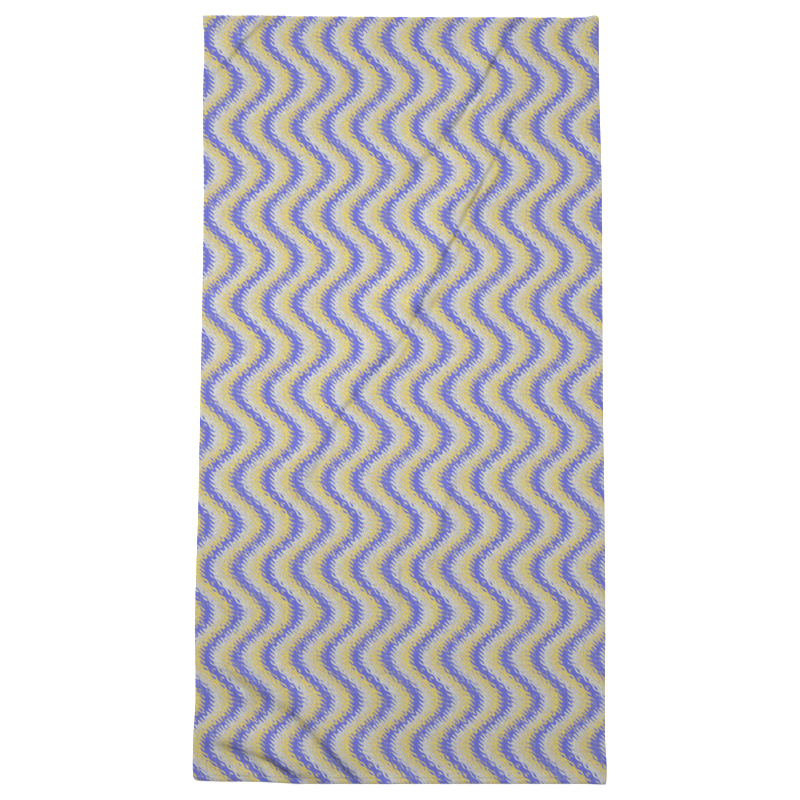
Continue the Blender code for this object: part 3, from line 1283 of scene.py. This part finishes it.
    def notes(self, mesh: bpy.types.Mesh) -> tuple[Numbers, Numbers]:
        """Reads what the mesh notes at each of its points.

        Args:
            mesh: The cloth.

        Returns:
            Each point's inset from the edge, and the mark of its face.
        """
        names = (self.inset_name, self.face_name)
        inset, upper = (read_all(mesh.attributes[name].data, "value", np.float32) for name in names)
        return inset.astype(float), upper.astype(float)

    def map_print(self, mesh: bpy.types.Mesh) -> None:
        """Lays the print on the mesh, turned under with the hem, and parts the plain underside off.

        Args:
            mesh: The cloth with its heights.
        """
        points = read_all(mesh.vertices, "co", np.float32, 3)[:, :2].astype(float)
        corners = read_all(mesh.loops, "vertex_index", np.int32)
        sizes = read_all(mesh.polygons, "loop_total", np.int32)
        face_of = np.repeat(np.arange(len(sizes)), sizes)
        inset, upper = (values[corners] for values in self.notes(mesh))
        mean_inset, mean_upper = (np.bincount(face_of, values) / sizes for values in (inset, upper))
        is_plain = (mean_upper < self.upper_mark) & (mean_inset > self.form.hem_width)
        mesh.polygons.foreach_set("material_index", is_plain.astype(np.int32))
        insets = self.form.outline.insets(points)[corners]
        totals = np.stack([np.bincount(face_of, from_edge) for from_edge in insets.T], axis=1)
        edge = totals.argmin(axis=1)[face_of]
        # The turned hem carries on as far past the edge as it lies inside it
        beyond = 2.0 * insets[np.arange(len(corners)), edge][:, None] * OUTWARD[edge]
        turned = (upper < self.upper_mark) & ~is_plain[face_of]
        flat = points[corners] + np.where(turned[:, None], beyond, 0.0)
        layer = mesh.uv_layers.new(name=self.map_name, do_init=False)
        layer.uv.foreach_set("vector", flat.astype(np.float32).ravel())

    def build(self) -> bpy.types.Object:
        """Builds and dresses the cloth.

        Returns:
            The cloth's object.
        """
        bm = bmesh.new()
        self.lay_out(bm)
        self.thicken(bm)
        self.refine(bm)
        mesh = finished_mesh(bm, self.name)
        self.raise_faces(mesh)
        self.map_print(mesh)
        for name in (self.inset_name, self.face_name):
            mesh.attributes.remove(mesh.attributes[name])
        mesh.shade_smooth()
        for finish in (PrintedTerry(self.map_name), PlainTerry(self.map_name)):
            mesh.materials.append(finish.material())
        return add_object(mesh)


@dataclass
class HemStitching:
    """The lockstitch that holds the turned hem, seen on both faces of the cloth."""

    cloth: TerryCloth
    name: str = "hem_stitching"
    pitch: float = 3.6 * MM
    length: float = 3.0 * MM
    thickness: float = 0.45 * MM
    slant: float = 5.0
    slant_spread: float = 3.0
    length_spread: tuple[float, float] = (0.94, 1.04)
    sunk: float = 0.35
    sides: int = 6
    rings: int = 4
    seed: int = 11

    def places(self) -> Numbers:
        """Lists where the stitches' two ends are, seen from above.

        Returns:
            For each stitch, the places of its two ends.
        """
        form = self.cloth.form
        inset = form.stitch_inset
        starts, ends = [], []
        for length, runs_across, is_far in (
            (self.cloth.cut_width, True, False),
            (self.cloth.cut_length, False, True),
            (self.cloth.cut_width, True, True),
            (self.cloth.cut_length, False, False),
        ):
            count = round((length - 2.0 * inset) / self.pitch)
            half = 0.5 * self.length / length
            for ends_list, step in ((starts, -half), (ends, half)):
                share = (np.arange(count) + 0.5) / count + step
                running = np.stack([share, inset * (1.0 - 2.0 * share)], axis=1)
                held = np.tile([1.0, -inset] if is_far else [0.0, inset], (count, 1))
                pair = (running, held) if runs_across else (held, running)
                ends_list.append(form.outline.between(*pair))
        return np.stack([np.concatenate(starts), np.concatenate(ends)], axis=1)

    def axes(self, face: Face) -> tuple[Numbers, Numbers]:
        """Places the stitches on one face of the cloth.

        Args:
            face: The face that they show on.

        Returns:
            The middle of each stitch, and its three axes: its whole length, breadth and height.
        """
        form = self.cloth.form
        is_upper = face is Face.UPPER
        chance = np.random.default_rng(self.seed if is_upper else self.seed + 1)
        ends = self.places()
        count = len(ends)
        inset = np.full(count, form.stitch_inset)
        heights = np.stack([form.height(face, ends[:, i], inset) for i in (0, 1)], axis=1)
        # The upper thread sinks a little into the pile, and the lower one is flush with the underside
        proud = self.thickness * (0.5 - self.sunk if is_upper else 0.5)
        ends = np.concatenate([ends, heights[:, :, None] + proud], axis=2)
        way = unit(ends[:, 1] - ends[:, 0])
        angle = np.radians(self.slant + chance.uniform(-self.slant_spread, self.slant_spread, count))
        side = unit(np.cross((0.0, 0.0, 1.0), way))
        along = way * np.cos(angle)[:, None] + side * np.sin(angle)[:, None]
        side = unit(np.cross((0.0, 0.0, 1.0), along))
        up = np.cross(along, side)
        lengths = self.length * chance.uniform(*self.length_spread, count)[:, None]
        axes = np.stack([along * lengths, side * self.thickness, up * self.thickness], axis=1)
        return ends.mean(axis=1), axes

    def one_stitch(self) -> bpy.types.Mesh:
        """Makes the ball that each stitch is drawn out from, its poles at the two ends of X.

        Returns:
            The ball's mesh, one unit across.
        """
        bm = bmesh.new()
        bmesh.ops.create_uvsphere(
            bm,
            u_segments=self.sides,
            v_segments=self.rings,
            radius=0.5,
            matrix=Matrix.Rotation(math.pi / 2, 4, "Y"),
        )
        return finished_mesh(bm, "one_stitch")

    def build(self) -> bpy.types.Object:
        """Builds and dresses the stitches of both faces as one piece.

        Returns:
            The stitching's object.
        """
        middles, axes = (np.concatenate(part) for part in zip(*(self.axes(face) for face in Face)))
        stitch = self.one_stitch()
        ball = np.array([vert.co for vert in stitch.vertices])
        bm = bmesh.new()
        for _ in middles:
            bm.from_mesh(stitch)
        bpy.data.meshes.remove(stitch)
        mesh = finished_mesh(bm, self.name)
        # Each stitch is its middle, and the ball's three coordinates times its three axes
        places = middles[:, None, :] + np.einsum("vk,nkc->nvc", ball, axes)
        mesh.vertices.foreach_set("co", places.astype(np.float32).ravel())
        mesh.update()
        mesh.shade_smooth()
        mesh.materials.append(SewingThread().material())
        return add_object(mesh)


@dataclass(frozen=True)
class PaleBoard:
    """A matt white painted board, lit up a little so that it stays white right round the towel."""

    colour: str = "f7f7f6"
    roughness: float = 0.9
    glow: float = 0.8

    def material(self) -> bpy.types.Material:
        """Makes the floor's material.

        Returns:
            The material.
        """
        material = new_material("matt_white_board")
        tree = material.node_tree
        board = {
            "Base Color": linear(self.colour),
            "Roughness": self.roughness,
            "Emission Color": linear(self.colour),
            "Emission Strength": self.glow,
        }
        add_node(tree, "OutputMaterial", {"Surface": add_node(tree, "BsdfPrincipled", board)})
        return material


@dataclass(frozen=True)
class SoftBox:
    """One oblong lamp of the studio."""

    name: str
    place: tuple[float, float, float]
    aim: tuple[float, float, float]
    width: float
    depth: float
    power: float

    def build(self) -> None:
        """Hangs the lamp and points it."""
        lamp = bpy.data.lights.new(self.name, "AREA")
        lamp.shape = "RECTANGLE"
        lamp.size = self.width
        lamp.size_y = self.depth
        lamp.energy = self.power
        made = add_object(lamp)
        made.location = self.place
        way = Vector(self.aim) - Vector(self.place)
        made.rotation_euler = way.to_track_quat("-Z", "Y").to_euler()


@dataclass
class Studio:
    """A plain pale floor, plain soft light and a camera straight above the towel."""

    floor_size: float = 40.0
    floor_gap: float = 0.0002
    view_width: float = 1.472
    view_centre: tuple[float, float] = (0.00055, -0.00055)
    camera_height: float = 9.0
    sensor_width: float = 36.0
    sky: float = 0.18
    lamps: tuple[SoftBox, ...] = (
        SoftBox(
            name="upper_left_lamp",
            place=(-2.9, 12.6, 9.4),
            aim=(0.0, 0.0, 0.0),
            width=3.2,
            depth=3.2,
            power=2250.0,
        ),
        SoftBox(
            name="overhead_lamp",
            place=(-0.16, 0.14, 0.9),
            aim=(-0.16, 0.14, 0.0),
            width=0.9,
            depth=0.3,
            power=3.4,
        ),
        SoftBox(
            name="lower_right_lamp",
            place=(0.34, -0.66, 0.8),
            aim=(0.34, -0.66, 0.0),
            width=0.3,
            depth=0.3,
            power=0.28,
        ),
    )

    def build_floor(self) -> None:
        """Lays the floor just under the towel."""
        bm = bmesh.new()
        bmesh.ops.create_grid(bm, x_segments=1, y_segments=1, size=self.floor_size / 2)
        bmesh.ops.translate(bm, verts=bm.verts, vec=(0.0, 0.0, -self.floor_gap))
        mesh = finished_mesh(bm, "floor")
        mesh.materials.append(PaleBoard().material())
        add_object(mesh)

    def build_sky(self) -> None:
        """Surrounds the studio with an even pale light."""
        world = bpy.data.worlds.new("pale_room")
        world.use_nodes = True
        light = world.node_tree.nodes["Background"].inputs
        light["Strength"].default_value = self.sky
        light["Color"].default_value = (1.0, 1.0, 1.0, 1.0)
        bpy.context.scene.world = world

    def build_camera(self) -> None:
        """Hangs the camera straight above, with a long lens that frames the towel as it is seen."""
        lens = bpy.data.cameras.new("camera")
        lens.sensor_width = self.sensor_width
        lens.lens = self.sensor_width * self.camera_height / self.view_width
        made = add_object(lens)
        made.location = (*self.view_centre, self.camera_height)
        bpy.context.scene.camera = made

    def build(self) -> None:
        """Builds the whole studio."""
        self.build_floor()
        self.build_sky()
        self.build_camera()
        for lamp in self.lamps:
            lamp.build()
        bpy.context.scene.view_settings.view_transform = "Standard"


def report(piece: bpy.types.Object) -> None:
    """Logs a piece's name and how many faces it has."""
    LOG.info("%s: %d faces", piece.name, len(piece.data.polygons))


def main() -> None:
    """Builds the towel and its studio, and reports each piece."""
    logging.basicConfig(level=logging.INFO, format="%(name)s: %(message)s")
    Studio().build()
    terry = TerryCloth()
    cloth = terry.build()
    stitching = HemStitching(terry).build()
    for piece in (cloth, stitching):
        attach(piece, BODY)
        report(piece)
    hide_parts(NODE)


if __name__ == "__main__":
    main()
